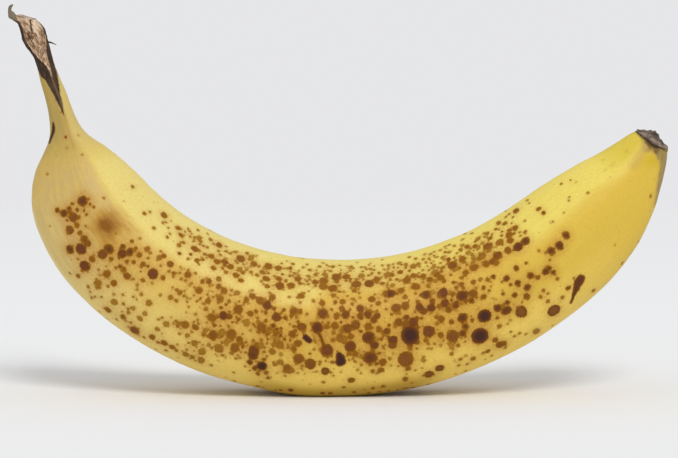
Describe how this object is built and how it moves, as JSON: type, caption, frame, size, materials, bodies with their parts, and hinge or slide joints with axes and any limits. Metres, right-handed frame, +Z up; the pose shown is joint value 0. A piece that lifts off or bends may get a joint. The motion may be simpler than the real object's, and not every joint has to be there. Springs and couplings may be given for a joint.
{
  "type": "banana",
  "caption": "Ripe spotted banana in its peel, curved, with a torn dried stem at one end and a dark blossom scar at the other, resting on its outer curve with both ends up.",
  "frame": {"origin": "on the ground, under the middle of the whole fruit's bounding box", "axes": "+X from the stem end to the blossom end, +Z up with both ends of the curve raised, +Y to the fruit's far side, so that its front faces -Y"},
  "size_m": [0.1848, 0.037, 0.1093],
  "materials": {
    "peel": "satin, slightly waxy yellow peel with brown sugar spots, dried brown stem tip and blossom scar"
  },
  "bodies": {
    "root": {"banana": "peel"}
  },
  "joints": []
}
